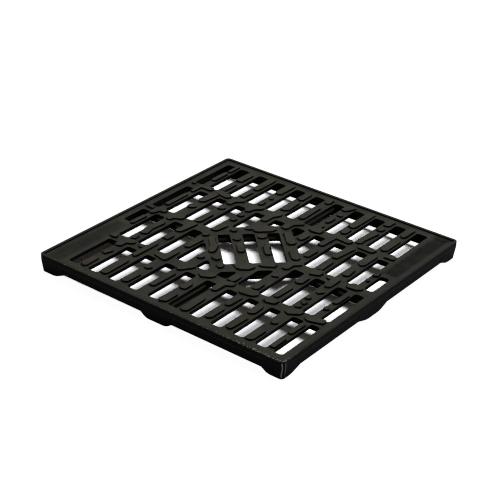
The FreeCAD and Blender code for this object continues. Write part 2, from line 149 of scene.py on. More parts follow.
def roundEdges(piece, width, segments=2, sharpness=35, spare=None):   # spare tells which edges stay sharp
    cleanMesh(piece)
    bpy.ops.object.mode_set(mode="EDIT")
    bpy.ops.mesh.select_mode(type="EDGE")
    bpy.ops.mesh.select_all(action="DESELECT")
    bpy.ops.mesh.edges_select_sharp(sharpness=math.radians(sharpness))
    bpy.ops.object.mode_set(mode="OBJECT")
    sharp = {edge.index for edge in piece.data.edges if edge.select}
    kept = {i for i in sharp if spare is None or not spare(*edgeEnds(piece, piece.data.edges[i]))}
    selectIn(piece, "edges", lambda edge: edge.index in kept)
    bpy.ops.mesh.bevel(offset=width * mm, segments=segments, affect="EDGES", clamp_overlap=True,
                       miter_outer="ARC")
    bpy.ops.object.mode_set(mode="OBJECT")
    evenShading(piece)


def evenShading(piece):                           # flat faces stay flat and rounded edges smooth
    activate(piece)
    bpy.ops.object.shade_smooth()
    step = piece.modifiers.new("evenShading", "WEIGHTED_NORMAL")
    step.weight = 100
    step.keep_sharp = True
    bpy.ops.object.modifier_apply(modifier=step.name)


def scaleVertices(piece, test, scale, centre):    # test takes a vertex in millimetres
    selectIn(piece, "vertices", lambda vertex: test(vertex.co / mm))
    bpy.ops.transform.resize(value=scale, center_override=Vector(centre) * mm)
    bpy.ops.object.mode_set(mode="OBJECT")


def moveVertices(piece, test, step):              # test takes a vertex in millimetres, step is in them too
    selectIn(piece, "vertices", lambda vertex: test(vertex.co / mm))
    bpy.ops.transform.translate(value=Vector(step) * mm)
    bpy.ops.object.mode_set(mode="OBJECT")


def turnedPiece(piece, turn):
    twin = copyOf(piece, piece.name, turn)
    bpy.data.objects.remove(piece)
    return twin


def finishPiece(piece, *nodes):
    piece.data.materials.clear()
    piece.data.materials.append(castIron)
    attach(piece, "root")
    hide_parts(*nodes)
    print(piece.name, "made,", len(piece.data.polygons), "faces")


# the deck: a slab with all its slots and the two shallow trays

deckPlan = {
    "reach": 197.0,            # the slab ends within the walls
    "slotWidth": 17.0,
    "slotLength": 79.5,
    "edgeSlotWidth": 13.9,
    "shortSlotLength": 42.0,
    "slotsEachSide": 5,        # left and right of the middle, without the narrow ones beside the walls
    "corner": 4.0,
    "cornerSteps": 5,
    "sideTaper": 0.9,          # how much further out a slot's long sides stand at the deck's underside
    "endTaper": 0.2,           # and its ends
    "crossbarDepth": 8.0,      # the crossbars are a little thicker than the bars
    "crossbarWidth": 16.6,
    "crossbarReach": 189.0,
    "over": 1.0,               # how far the cutters stand clear of the slab
    "clipInto": 0.6,           # how far the shortened slots reach into the square
    "edgeRound": 0.45,
    "sharpRim": 2.0,           # the slab's rim inside the walls isn't rounded
    "trayWidth": 25.0,
    "trayFrom": 58.0,
    "trayTo": 196.0,           # the lip's inner face
    "trayDepth": 1.0,
    "traySlope": 4.5,          # how far the floor's edges stand in from the tray's
    "trayCorner": 8.0,
}

squarePlan = {                 # its three slots cut the deck too
    "slotLength": 82.0,
    "slotWidth": 17.0,
    "corner": 3.0,
    "taper": 1.85,             # its slots grow by this on each side, down to its lower edge, and it draws in
    "depth": 13.5,
    "edgeRound": 0.8,
    "clear": 100,              # further out than the square's corners
}


def slotCutter(name, width, length, corner, tapers, depth):      # stands in the middle of the deck
    over = deckPlan["over"]
    high, low = casting["deck"] + over, casting["deck"] - depth - over
    cutter = addBlock(name, (-width / 2, -length / 2, low), (width / 2, length / 2, high))
    bevelEdges(cutter, corner, deckPlan["cornerSteps"], isUpright)
    for level, drop in ((high, -over), (low, depth + over)):
        grown = [(size + 2 * taper * drop / depth) / size for size, taper in zip((width, length), tapers)]
        scaleVertices(cutter, lambda v: abs(v.z - level) < 0.1, (grown[0], grown[1], 1), (0, 0, level))
    return cutter


def clipToSquare(cutter, middle):                 # shortens a slot at the square and rounds its new corners
    limit = squareReach - deckPlan["clipInto"]
    half = limit / math.sqrt(2)
    square = addBlock("square", (-half, -half, 0), (half, half, 2 * casting["top"]))
    combine(cutter, copyOf(square, "turnedSquare", turn=45))
    bpy.data.objects.remove(square)
    cleanMesh(cutter)

    def atSquare(point):
        return abs(abs(point.x) + abs(point.y) - limit) < 0.1

    for isOuter, angle in ((True, 45), (False, 135)):      # the corner away from the middle is the sharp one
        run = deckPlan["corner"] / math.tan(math.radians(angle / 2))
        bevelEdges(cutter, run, deckPlan["cornerSteps"], lambda a, b: isUpright(a, b)
                   and atSquare(a) and atSquare(b) and (abs(a.x) > abs(middle)) == isOuter)


def deckCutters(plan):
    def slot(name, width, length):
        return slotCutter(name, width, length, plan["corner"], (plan["sideTaper"], plan["endTaper"]),
                          casting["deck"] - casting["deckUnder"])

    full = slot("fullSlot", plan["slotWidth"], plan["slotLength"])
    edge = slot("edgeSlot", plan["edgeSlotWidth"], plan["slotLength"])
    short = slot("shortSlot", plan["edgeSlotWidth"], plan["shortSlotLength"])
    cutters = []
    for row, y in rowMiddles.items():
        for column in range(-plan["slotsEachSide"], plan["slotsEachSide"]):
            x = (column + 0.5) * casting["pitch"]
            cutter = copyOf(full, "slot", move=(x, y, 0))
            if row in (2, 3) and abs(x) < 2 * casting["pitch"]:
                clipToSquare(cutter, x)
            cutters.append(cutter)
    shortMiddle = (casting["rowPitch"] - plan["slotLength"] + plan["shortSlotLength"]) / 2
    for turn in (180, 0):                         # the left side is the right one, turned by half a turn
        cutters.append(copyOf(short, "slot", turn, (casting["edgeSlot"], shortMiddle, 0)))
        for row in (3, 4):
            cutters.append(copyOf(edge, "slot", turn, (casting["edgeSlot"], rowMiddles[row], 0)))
    for model in (full, edge, short):
        bpy.data.objects.remove(model)
    return joinAll(cutters, "slots")


def squareCutters(plan):
    one = slotCutter("squareSlot", plan["slotLength"], plan["slotWidth"], plan["corner"],
                     (plan["taper"], plan["taper"]), plan["depth"])
    cutters = [copyOf(one, "slot", -45, (0, k * casting["pitch"], 0)) for k in (-1, 0, 1)]
    bpy.data.objects.remove(one)
    return joinAll(cutters, "squareSlots")


def trayCutter(plan):
    middle, width = casting["edgeSlot"], plan["trayWidth"]
    front, back = plan["trayFrom"], plan["trayTo"]
    floor = casting["deck"] - plan["trayDepth"]
    tray = addBlock("tray", (middle - width / 2, front, floor),
                    (middle + width / 2, back, casting["deck"] + plan["over"]))
    bevelEdges(tray, plan["trayCorner"], 6, isUpright)
    drawnIn = [1 - 2 * plan["traySlope"] / size for size in (width, back - front)]
    scaleVertices(tray, lambda v: v.z < casting["deck"], (*drawnIn, 1), (middle, (front + back) / 2, floor))
    return tray


def makeDeck(plan):
    reach, under = plan["reach"], casting["deckUnder"]
    deck = addBlock("deckGrid", (-reach, -reach, under), (reach, reach, casting["deck"]))
    half, low = plan["crossbarWidth"] / 2, casting["deck"] - plan["crossbarDepth"]
    for y in (casting["rowPitch"], -casting["rowPitch"]):
        crossbar = addBlock("crossbar", (-plan["crossbarReach"], y - half, low),
                            (plan["crossbarReach"], y + half, casting["deck"] - 1))
        combine(deck, crossbar, "UNION")
    combine(deck, deckCutters(plan))
    combine(deck, squareCutters(squarePlan))
    tray = trayCutter(plan)
    other = copyOf(tray, "otherTray", 180)
    combine(deck, tray)
    combine(deck, other)

    def staysSharp(a, b):                         # the rim inside the walls, the underside over the square
        atRim = all(max(abs(p.x), abs(p.y)) > reach - plan["sharpRim"] for p in (a, b))
        overSquare = all(p.z < under + 0.1 and abs(p.x) + abs(p.y) < squareReach for p in (a, b))
        return atRim or overSquare

    roundEdges(deck, plan["edgeRound"], 2, spare=staysSharp)
    finishPiece(deck, "crossbar_back", "crossbar_front", "centre_bar_left", "centre_bar_right",
                "bars_row_1", "bars_row_2", "bars_row_3", "bars_row_4",
                "blank_plate_left", "blank_plate_right", "diamond_bars")


# the turned square's deep frame under the deck

def makeSquare(plan):
    half, clear = casting["squareHalf"], plan["clear"]
    under, low = casting["deckUnder"], casting["deck"] - plan["depth"]
    block = addBlock("squareBlock", (-half, -half, low), (half, half, casting["deck"]))
    bevelEdges(block, plan["corner"], 4, isUpright)
    drawnIn = 1 - plan["taper"] / half
    scaleVertices(block, lambda v: v.z < under, (drawnIn, drawnIn, 1), (0, 0, low))
    square = copyOf(block, "squareSkirt", 45)
    bpy.data.objects.remove(block)
    combine(square, addBlock("above", (-clear, -clear, under), (clear, clear, casting["top"] + 10)))
    combine(square, squareCutters(plan))
    along, across = plan["slotLength"] / 2, plan["slotWidth"] / 2 + casting["pitch"]
    hollow = addBlock("hollow", (-along, -across, low - 1), (along, across, under + 1))
    combine(square, copyOf(hollow, "turnedHollow", -45))       # the bars between the slots aren't deep
    bpy.data.objects.remove(hollow)
    roundEdges(square, plan["edgeRound"], 2, spare=lambda a, b: min(a.z, b.z) > under - 0.1)
    finishPiece(square, "diamond_ends", "diamond_sides")


# the four deep ribs

ribPlan = {"from": 84.0, "to": 189.0, "width": 16.0, "depth": 15.5, "taper": 0.4, "edgeRound": 0.8}


def makeRibs(plan):
    half, low = plan["width"] / 2, casting["deck"] - plan["depth"]
    rib = addBlock("rib", (plan["from"], -half, low), (plan["to"], half, casting["deckUnder"]))
    scaleVertices(rib, lambda v: v.z < low + 0.1, (1, 1 - plan["taper"] / half, 1), (plan["from"], 0, low))
    roundEdges(rib, plan["edgeRound"], 2,
               spare=lambda a, b: min(a.z, b.z) > casting["deckUnder"] - 0.1 or isUpright(a, b))
    ribs = [copyOf(rib, "rib", turn) for turn in (0, 90, 180, 270)]
    bpy.data.objects.remove(rib)
    finishPiece(joinAll(ribs, "deepRibs"), "rib_right", "rib_back", "rib_left", "rib_front")


# the outer walls with the lip, the parting line and the uneven lower edge

wallPlan = {
    "lipWidth": 4.0,
    "corner": 6.0,
    "step": 0.6,               # in at the parting line
    "draft": 1.0,              # from there to the lower edge
    "innerX": (187.95, 189.55),    # the inner faces under the deck and at the lower edge
    "innerY": (186.0, 187.6),
    "innerCorner": 4.0,
    "edgeRound": 0.6,
    "lowerEdge": {(-1, -1): 8.1, (1, -1): 6.1, (1, 1): 7.2, (-1, 1): 6.6},   # its level at each corner
}


def wallShell(plan):
    half, parting, bottom = casting["half"], casting["partingLine"], casting["wallBottom"]
    shell = addBlock("outerWalls", (-half, -half, parting), (half, half, casting["top"]))
    bevelEdges(shell, plan["corner"], 6, isUpright)
    selectIn(shell, "polygons", lambda face: face.normal.z < -0.9)
    bpy.ops.mesh.inset(thickness=plan["step"] * mm)
    bpy.ops.mesh.extrude_region_move(TRANSFORM_OT_translate={"value": (0, 0, (bottom - parting) * mm)})
    drawnIn = 1 - plan["draft"] / (half - plan["step"])
    bpy.ops.transform.resize(value=(drawnIn, drawnIn, 1), center_override=(0, 0, bottom * mm))
    bpy.ops.object.mode_set(mode="OBJECT")
    return shell


def makeWalls(plan):
    half, bottom, under = casting["half"], casting["wallBottom"], casting["deckUnder"]
    walls = wallShell(plan)
    for (sideX, sideY), level in plan["lowerEdge"].items():
        moveVertices(walls, lambda v: v.z < bottom + 0.1 and v.x * sideX > 0 and v.y * sideY > 0,
                     (0, 0, level - bottom))
    inside = half - plan["lipWidth"]
    combine(walls, addBlock("pocket", (-inside, -inside, under), (inside, inside, casting["top"] + 5)))
    (topX, lowX), (topY, lowY) = plan["innerX"], plan["innerY"]
    hollow = addBlock("hollow", (-topX, -topY, bottom), (topX, topY, under + 0.5))
    bevelEdges(hollow, plan["innerCorner"], 4, isUpright)
    scaleVertices(hollow, lambda v: v.z < bottom + 0.1, (lowX / topX, lowY / topY, 1), (0, 0, bottom))
    moveVertices(hollow, lambda v: v.z < bottom + 0.1, (0, 0, -2))
    combine(walls, hollow)
    roundEdges(walls, plan["edgeRound"], 3, sharpness=50)
    finishPiece(walls, "wall_right", "wall_back", "wall_left", "wall_front")


# the feet, each with its own length

feetPlan = {
    "reach": 14.0,             # how deep a foot's block goes in, before the inside of the walls is cut out
    "inAtParting": 0.1,        # from the lip's face in to the foot's face
    "inAtSole": 2.0,
    "corner": 5.5,
    "soleRound": 5.0,
    "edgeRound": 0.7,
    "innerX": 189.55,          # the walls' inner faces at the lower edge
    "innerY": 187.6,
    # along the right wall, and turned from there: where the ramps leave the wall, and the sole's ends
    "sides": {
        0: ((-39, 26), (-18, 11)),
        90: ((-28, 28), (-14, 14)),
        180: ((-28, 28), (-14, 14)),
        270: ((-23, 28), (-15, 18)),
    },
    # at the right back corner, and turned from there: where ramp and sole begin, on the right wall and on
    # the back one
    "corners": {
        0: ((160.0, 177.0), (161.5, 175.5)),
        90: ((161.5, 175.5), (161.5, 175.5)),
        180: ((161.5, 175.5), (156.0, 173.0)),
        270: ((167.0, 176.0), (163.0, 180.0)),
    },
}


def edgeLevel(x, y):                              # of the walls' uneven lower edge
    half, levels = casting["half"], wallPlan["lowerEdge"]
    return sum(level * (1 + sideX * x / half) * (1 + sideY * y / half) / 4
               for (sideX, sideY), level in levels.items())


def footBlock(name, low, high, level):            # from the walls' lower edge up, and the sole below it
    foot = addBlock(name, (*low, level), (*high, casting["partingLine"]))
    selectIn(foot, "polygons", lambda face: face.normal.z < -0.9)
    bpy.ops.mesh.extrude_region_move(TRANSFORM_OT_translate={"value": (0, 0, -level * mm)})
    bpy.ops.object.mode_set(mode="OBJECT")
    return foot


def drawInFace(foot, axis, plan, level):          # the outer face follows one draft down to the sole
    face = casting["half"]
    slope = (plan["inAtSole"] - plan["inAtParting"]) / casting["partingLine"]
    for z in (casting["partingLine"], level, 0):
        inset = plan["inAtParting"] + slope * (casting["partingLine"] - z)
        moveVertices(foot, lambda v: v[axis] > face - 1 and abs(v.z - z) < 0.1,
                     [-inset if k == axis else 0 for k in range(3)])


def sideFoot(turn, ramps, sole, plan):
    half, middle = casting["half"], sum(ramps) / 2
    level = edgeLevel(*(Matrix.Rotation(math.radians(turn), 2) @ Vector((half, middle))))
    foot = footBlock("sideFoot", (half - plan["reach"], ramps[0]), (half, ramps[1]), level)
    moveVertices(foot, lambda v: v.z < 0.1 and v.y < middle, (0, sole[0] - ramps[0], 0))
    moveVertices(foot, lambda v: v.z < 0.1 and v.y > middle, (0, sole[1] - ramps[1], 0))
    drawInFace(foot, 0, plan, level)
    bevelEdges(foot, plan["soleRound"], 4, lambda a, b: max(a.z, b.z) < 0.1 and abs(a.y - b.y) < 0.1)
    return turnedPiece(foot, turn)


def cornerFoot(turn, onRight, onBack, plan):      # where it begins on the right wall and on the back one
    half = casting["half"]
    level = edgeLevel(*(Matrix.Rotation(math.radians(turn), 2) @ Vector((half, half))))
    foot = footBlock("cornerFoot", (onBack[0], onRight[0]), (half, half), level)
    moveVertices(foot, lambda v: v.z < 0.1 and v.x < half - 1, (onBack[1] - onBack[0], 0, 0))
    moveVertices(foot, lambda v: v.z < 0.1 and v.y < half - 1, (0, onRight[1] - onRight[0], 0))
    drawInFace(foot, 0, plan, level)
    drawInFace(foot, 1, plan, level)
    bevelEdges(foot, plan["corner"], 5, lambda a, b: isUpright(a, b)
               and min(a.x, b.x, a.y, b.y) > half - 4)
    bevelEdges(foot, plan["soleRound"], 4, lambda a, b: max(a.z, b.z) < 0.1
               and (abs(a.x - b.x) < 0.1 and a.x < half - 10
                    or abs(a.y - b.y) < 0.1 and a.y < half - 10))
    return turnedPiece(foot, turn)


def makeFeet(plan):
    sides = [sideFoot(turn, *ends, plan) for turn, ends in plan["sides"].items()]
    corners = [cornerFoot(turn, *begins, plan) for turn, begins in plan["corners"].items()]
    for name, feet, node in (("sideFeet", sides, "side_feet"), ("cornerFeet", corners, "corner_feet")):
        piece = joinAll(feet, name)
        combine(piece, addBlock("inside", (-plan["innerX"], -plan["innerY"], -1),
                                (plan["innerX"], plan["innerY"], casting["top"])))
        roundEdges(piece, plan["edgeRound"], 2, sharpness=50)
        finishPiece(piece, node)


# the raised pads: each stroke holds a bar's number, the stroke's radius and the points it passes through,
# x from the bar's middle and y from the middle of the row or crossbar; one point alone makes a round pad,
# and the bars beside the walls are number 5 and -5

padPlan = {
    "sides": 18,               # of a round pad
    "step": 2.2,               # between the points along a straight stretch
    "inBend": 2.2,             # how far the inner corner of a bend is rounded
    "waves": (4.8, 8.0),       # strength and size of the uneven outline
    "shadeRingRise": 0.25,          # a low ring runs round each pad, which the material paints near black as the pads' contact shade
    "shadeRingOut": 1.5,            # how far it stands out
    "edgeRound": 0.4,
    "hair": 0.07,              # every second stretch is this much wider, so that no two faces coincide
}
strokes = {
    "row_1": [
        (-5, 3.2, [(-1, 40), (-1, 20)]),
        (-5, 3.2, [(-1, 10.5), (-1, -17)]),
        (-4, 5.5, [(-2, 28), (-2, 7)]),
        (-4, 4, [(-1, -12), (-1, -34)]),
        (-3, 5.5, [(-0.5, 35), (-0.5, 1)]),
        (-3, 4.5, [(-1.5, -16), (-1.5, -31)]),
        (-2, 5.5, [(-2, 37), (-2, 12)]),
        (-2, 3.8, [(-1, -10)]),
        (-2, 3.3, [(-1, -28), (-1, -33.5)]),
        (-1, 5, [(-1.5, 34), (-1.5, 17)]),
        (-1, 5.5, [(0, 1), (0, -23)]),
        (0, 5, [(-0.5, 38), (-0.5, 33)]),
        (0, 5, [(-1, 7), (-1, -29)]),
        (1, 4.8, [(2, 40), (-2, 32)]),
        (1, 4, [(1.5, 11)]),
        (1, 4, [(-0.5, -4), (-0.5, -15)]),
        (1, 3, [(0.5, -34), (0.5, -37)]),
        (2, 5.3, [(-1, 41), (-1, -4.5)]),
        (2, 5.5, [(-0.5, -19), (-0.5, -26)]),
        (3, 4.5, [(-0.5, 41), (-0.5, 31)]),
        (3, 4.5, [(0, 14), (0, 13)]),
        (3, 4.5, [(0.5, -3), (-3, -32), (-2, -36)]),
        (4, 5, [(0, 38), (0, 18)]),
        (4, 5.5, [(0, -2), (0, -31)]),
    ],
    "row_2": [
        (-5, 3.2, [(-1.5, 15.5), (-1.5, -25)]),
        (-4, 5, [(-1, 41), (-2.5, 16)]),
        (-4, 5.5, [(-2.5, -7)]),
        (-3, 5, [(-1.5, 17)]),
        (-3, 5.3, [(-1, -10.5), (-1, -34)]),
        (-2, 4.7, [(-1.5, 17)]),
        (-2, 4.6, [(-1.5, -1)]),
        (-2, 5, [(0.5, -26), (-1.5, -39)]),
        (1, 5.5, [(0, 27), (0, 17)]),
        (2, 4.5, [(1, -1), (1, -17)]),
        (3, 5, [(0, 35), (-3, 4.5)]),
        (3, 3.5, [(0.5, -13), (0.5, -35)]),
        (4, 5, [(1, 37), (1, 12)]),
        (4, 4.8, [(0.5, -13), (0.5, -24.5)]),
        (5, 3.2, [(-1, 5.5), (-1, -2.5)]),
        (5, 3, [(-1, -20)]),
    ],
    "row_3": [
        (-5, 3, [(-2, 21), (-2, -3)]),
        (-4, 5, [(-1, 21), (-3, 1), (-0.5, -13)]),
        (-4, 3.2, [(-1.5, -29), (-1.5, -35.5)]),
        (-3, 5.3, [(-1.5, 0), (-1.5, -5)]),
        (-3, 4.5, [(-2, -29), (-2, -69)]),
        (-2, 4.8, [(1, 19.5), (1, -4)]),
        (-2, 5, [(-1, -29), (0, -47)]),
        (-2, 5, [(-14, -47), (0, -51)]),
        (-1, 5, [(-2, -16)]),
        (1, 5.2, [(-0.5, -28), (-0.5, -36.5)]),
        (2, 4.8, [(1, 9)]),
        (2, 3.5, [(1, -22), (1, -34)]),
        (3, 5, [(-0.5, 27), (-0.5, 16)]),
        (3, 4.5, [(-1.5, -7), (-1.5, -31)]),
        (4, 4.5, [(0, 12)]),
        (4, 4, [(-3.5, -9)]),
        (4, 4.3, [(0, -23)]),
        (4, 3.2, [(0, -34)]),
        (5, 3.4, [(-0.5, 26), (-0.5, 3.5)]),
        (5, 3.5, [(-1, -16)]),
    ],
    "row_4": [
        (-4, 4.8, [(-1.5, 12), (-3, 7)]),
        (-4, 5, [(-1, -15), (-1, -34)]),
        (-3, 5.7, [(-1, 4), (-1, -31.5)]),
        (-2, 4.8, [(-1.5, 14)]),
        (-2, 5.3, [(-0.5, -10.5), (-0.5, -30)]),
        (-1, 5, [(-1.5, 20), (-1.5, -14)]),
        (0, 4.8, [(-0.5, 14), (-0.5, 4.5)]),
        (0, 5, [(-0.5, -19), (-0.5, -35)]),
        (1, 5.2, [(-0.5, -5.5), (-0.5, -35)]),
        (2, 4.5, [(-1, 28), (-1, 10)]),
        (2, 5, [(-1, -7), (-1, -28)]),
        (3, 4.8, [(-0.5, 28), (-0.5, 14.5)]),
        (3, 4.5, [(0, -6), (0, -31)]),
        (4, 4.2, [(0, 12)]),
        (4, 5.5, [(-0.5, -15), (-0.5, -34)]),
        (5, 3.3, [(-1, 29.5), (-1, 6)]),
        (5, 3.5, [(-0.5, -13), (-0.5, -33)]),
    ],
    "crossbar_back": [
        (-5, 3, [(-18, 4.5)]),
        (-5, 4.5, [(15, 3.5), (-2, 2.5)]),
        (-5, 2.8, [(-2.5, 2.5), (-2, -18)]),
        (-4, 5.5, [(0, 4), (16.5, 2)]),
        (-3, 4.7, [(5.5, 3.5), (-1.5, -3.5), (-2, -12.5)]),
        (-2, 4.7, [(7, 3.5), (-1, -3.5), (-3, -13.5)]),
        (-1, 5, [(3, 2.5), (-2, -6.5), (-2, -20.5)]),
        (0, 5.2, [(8, 2.5), (0, -5.5), (-1.5, -20.5)]),
        (1, 7.8, [(0, 1.5), (5, 2)]),
        (2, 5, [(20.5, 2.5), (-0.5, 3)]),
        (2, 4, [(-2, 0.5), (-2.5, -27.5)]),
        (3, 5.7, [(8.5, 2.5), (23.5, 2)]),
        (4, 5.5, [(17, 2.5), (21.5, 2.5)]),
    ],
    "centre": [
        (-5, 4, [(-18, 2), (-11, 1.5)]),
        (-5, 4.3, [(9.5, 3.5), (1, 2), (-1.5, -9)]),
        (-4, 5.8, [(7.5, 3.5), (-1, 2.5), (-1.5, -5.5)]),
        (-3, 5, [(0.5, 0), (-2.5, -25)]),
        (-2, 5.3, [(-3, -11)]),
        (2, 4.3, [(5, 3), (-1.5, -3), (-1.5, -14.5)]),
        (3, 6.8, [(1, 0.5), (4, 1.5)]),
        (4, 5.2, [(-10.5, 2.5), (-2.5, 1), (-1.5, -15)]),
        (5, 6, [(-8.5, 1.5), (0.5, 4)]),
    ],
    "crossbar_front": [
        (-5, 5.5, [(6, 1)]),
        (-4, 5, [(5.5, 2.5), (-2.5, -2.5), (-3, -13)]),
        (-3, 4, [(-11.5, 1.5)]),
        (-1, 5, [(6, 3.5), (-2, -9.5)]),
        (0, 6.5, [(5, 2.5), (-2, -2)]),
        (1, 4.7, [(6.5, 2), (-2, -3.5), (-3, -21.5)]),
        (2, 7, [(-3, -1), (7, 2)]),
        (3, 7, [(-1.5, 2), (3, 3)]),
        (4, 6, [(-0.5, -4.5), (7.5, 2)]),
        (5, 5.2, [(-5, 0), (0, -1.5), (12, 2)]),
    ],
    "diamond": [
        (0, 8.7, [(-15, 57.5), (-25, 48)]),
        (0, 4.5, [(-28, 50.4), (-38, 40)]),
        (0, 5.5, [(-8, 34)]),
        (0, 5, [(-49, 24)]),
        (0, 4.5, [(-30, 6)]),
        (0, 5.5, [(14, 62), (31.5, 45.5)]),
        (0, 6, [(49, 27), (61.5, 15.5)]),
        (0, 2.8, [(10, 20), (16.5, 15)]),
        (0, 4.5, [(13, 13), (26, 1.5)]),
        (0, 4.3, [(-17, -5), (-5.5, -16.5)]),
        (0, 9.5, [(20, -49.5), (26, -45.5)]),
        (0, 4.6, [(41, -28.5), (51.5, -20.5)]),
        (0, 4.5, [(-56, -17), (-45, -27)]),
        (0, 5.2, [(-40, -28.5), (-35.5, -42)]),
        (0, 5, [(-20, -54.5), (-17, -54)]),
        (0, 5.5, [(-1, -67)]),
    ],
}
strokeLevels = {
    "row_1": rowMiddles[1],
    "row_2": rowMiddles[2],
    "row_3": rowMiddles[3],
    "row_4": rowMiddles[4],
    "crossbar_back": casting["rowPitch"],
    "centre": 0.0,
    "crossbar_front": -casting["rowPitch"],
    "diamond": 0.0,
}


def addStretch(start, end, radius, plan):         # a flat outline around one straight stretch
    deselectAll()
    bpy.ops.mesh.primitive_circle_add(vertices=plan["sides"], radius=radius * mm, fill_type="NGON",
                                      location=start * mm)
    stretch = bpy.context.object
    bpy.ops.object.transform_apply(location=True)
    along = end - start
    if along.length > 0.1:
        selectIn(stretch, "vertices", lambda v: (v.co / mm - start).dot(along) > 0.01)
        bpy.ops.transform.translate(value=along * mm)
        bpy.ops.object.mode_set(mode="OBJECT")

        def isLong(edge):
            a, b = edgeEnds(stretch, edge)
            return (a - b).length > 1.5 * plan["step"]

        selectIn(stretch, "edges", isLong)
        bpy.ops.mesh.subdivide(number_cuts=max(1, int(along.length / plan["step"])))
        bpy.ops.object.mode_set(mode="OBJECT")
    return stretch


def raiseOutlines(outlines, name, height):        # makes slabs of the flat outlines
    piece = joinAll(outlines, name)
    activate(piece)
    bpy.ops.object.mode_set(mode="EDIT")
    bpy.ops.mesh.select_all(action="SELECT")
    bpy.ops.mesh.extrude_region_move(TRANSFORM_OT_translate={"value": (0, 0, height * mm)})
    bpy.ops.mesh.select_all(action="SELECT")
    bpy.ops.mesh.normals_make_consistent(inside=False)
    bpy.ops.object.mode_set(mode="OBJECT")
    return piece


def waveOutlines(piece, strength, size):          # soft waves, from left to right and from front to back
    cloud = bpy.data.textures.new("waves", "CLOUDS")
    cloud.noise_scale = size * mm
    cloud.noise_depth = 1
    activate(piece)
    for direction in ("X", "Y"):
        step = piece.modifiers.new("waves", "DISPLACE")
        step.texture = cloud
        step.direction = direction
        step.strength = strength * mm
        step.mid_level = 0.5
        bpy.ops.object.modifier_apply(modifier=step.name)


def isInward(piece, edge, faces):                 # an upright edge in the crook of a bend
    a, b = edgeEnds(piece, edge)
    if (a.xy - b.xy).length > 0.05 or len(faces.get(edge.key, [])) != 2:
        return False
    one, other = faces[edge.key]
    return (other.center - one.center).dot(one.normal) > 0.2 * (other.center - one.center).length


def roundBends(layer, plan):
    faces = {}
    for face in layer.data.polygons:
        for key in face.edge_keys:
            faces.setdefault(key, []).append(face)
    inward = {edge.index for edge in layer.data.edges if isInward(layer, edge, faces)}
    selectIn(layer, "edges", lambda edge: edge.index in inward)
    bpy.ops.mesh.bevel(offset=plan["inBend"] * mm, segments=3, affect="EDGES", clamp_overlap=True)
    bpy.ops.object.mode_set(mode="OBJECT")


def padLayer(name, plan, wider, height):          # all the pads of one group, as slabs on the deck
    halves = ([], [])                             # neighbours overlap, so they are united as two lots
    for number, (bar, radius, points) in enumerate(strokes[name]):
        middle = math.copysign(casting["edgeBar"], bar) if abs(bar) == 5 else bar * casting["pitch"]
        path = [Vector((middle + x, strokeLevels[name] + y, casting["deck"])) for x, y in points]
        for k, (start, end) in enumerate(zip(path, path[1:] or path)):
            stretch = addStretch(start, end, radius + wider + plan["hair"] * (k % 2), plan)
            halves[(number + k) % 2].append(stretch)
    layer = raiseOutlines(halves[0], name, height)
    combine(layer, raiseOutlines(halves[1], "more", height), "UNION")
    cleanMesh(layer)
    roundBends(layer, plan)
    waveOutlines(layer, *plan["waves"])
    return combine(layer, copyOf(slotsAbove, "slots"))         # no pad hangs over a slot


def makePads(name, plan):
    pads = padLayer(name, plan, 0.0, casting["top"] - casting["deck"])
    roundEdges(pads, plan["edgeRound"], 2, sharpness=50,
               spare=lambda a, b: min(a.z, b.z) < casting["top"] - 0.1)
    # the ring round each pad's base, painted near black as contact shade by the material
    foot = padLayer(name, plan, plan["shadeRingOut"], plan["shadeRingRise"])
    finishPiece(joinAll([pads, foot], "raisedPads_" + name), "pads_" + name)


# camera, lamp, ground and sky

cameraPlan = {                 # in degrees and millimetres
    "azimuth": 38.074,
    "elevation": 28.692,
    "roll": -1.579,
    "distance": 1841.9,
    "aim": (-29.44, -35.56, 26.0),
    "lens": 99.60,
    "sensor": 36.0,
    "shift": (0.0634, -0.0012),
    "farEnd": 50000,
    "filter": 1.1,             # a narrow pixel filter keeps the thin dark edges
}


def addCamera(plan):
    around, above = math.radians(plan["azimuth"]), math.radians(plan["elevation"])
    back = Vector((math.sin(around) * math.cos(above), -math.cos(around) * math.cos(above), math.sin(above)))
    right = (-back).cross(Vector((0, 0, 1))).normalized()
    turned = Matrix.Rotation(math.radians(-plan["roll"]), 3, back)
    right = turned @ right
    bpy.ops.object.camera_add()
    camera = bpy.context.object
    place = (Vector(plan["aim"]) + back * plan["distance"]) * mm
    axes = Matrix((right, back.cross(right), back)).transposed()
    camera.matrix_world = Matrix.LocRotScale(place, axes, None)
    camera.data.lens = plan["lens"]
    camera.data.sensor_width = plan["sensor"]
    camera.data.shift_x, camera.data.shift_y = plan["shift"]
    camera.data.clip_end = plan["farEnd"] * mm
    bpy.context.scene.camera = camera
    bpy.context.scene.cycles.filter_width = plan["filter"]


lightPlan = {                                  # in metres, the lamp's power in watts
    "strip": {"place": (0.0, 0.45, 2.0), "size": (2.4, 0.75), "power": 38.0},    # long from left to right
    "skyLight": (0.060, 0.052, 0.042, 1),      # what the sky gives the object
    "skySeen": (1, 1, 1, 1),                   # and how it looks itself
    "groundSize": 30.0,
    "groundSeen": (2.7, 2.7, 2.83, 1),         # so pale that it is white wherever the lamp reaches it
    "groundMirrored": (0.6, 0.6, 0.6, 1),
    "groundBounce": (0.22, 0.22, 0.23, 1),
    "whiteShare": 0.97,                        # around the grate the ground stays white in its shadow
    "whiteFrom": (0.187, 0.191),               # where that begins, under the walls
}


def addLamp(name, plan):
    deselectAll()
    bpy.ops.object.light_add(type="AREA", location=plan["place"])
    lamp = bpy.context.object
    lamp.name = name
    lamp.data.shape = "RECTANGLE"
    lamp.data.size, lamp.data.size_y = plan["size"]
    lamp.data.energy = plan["power"]


# shader maths as plain sums

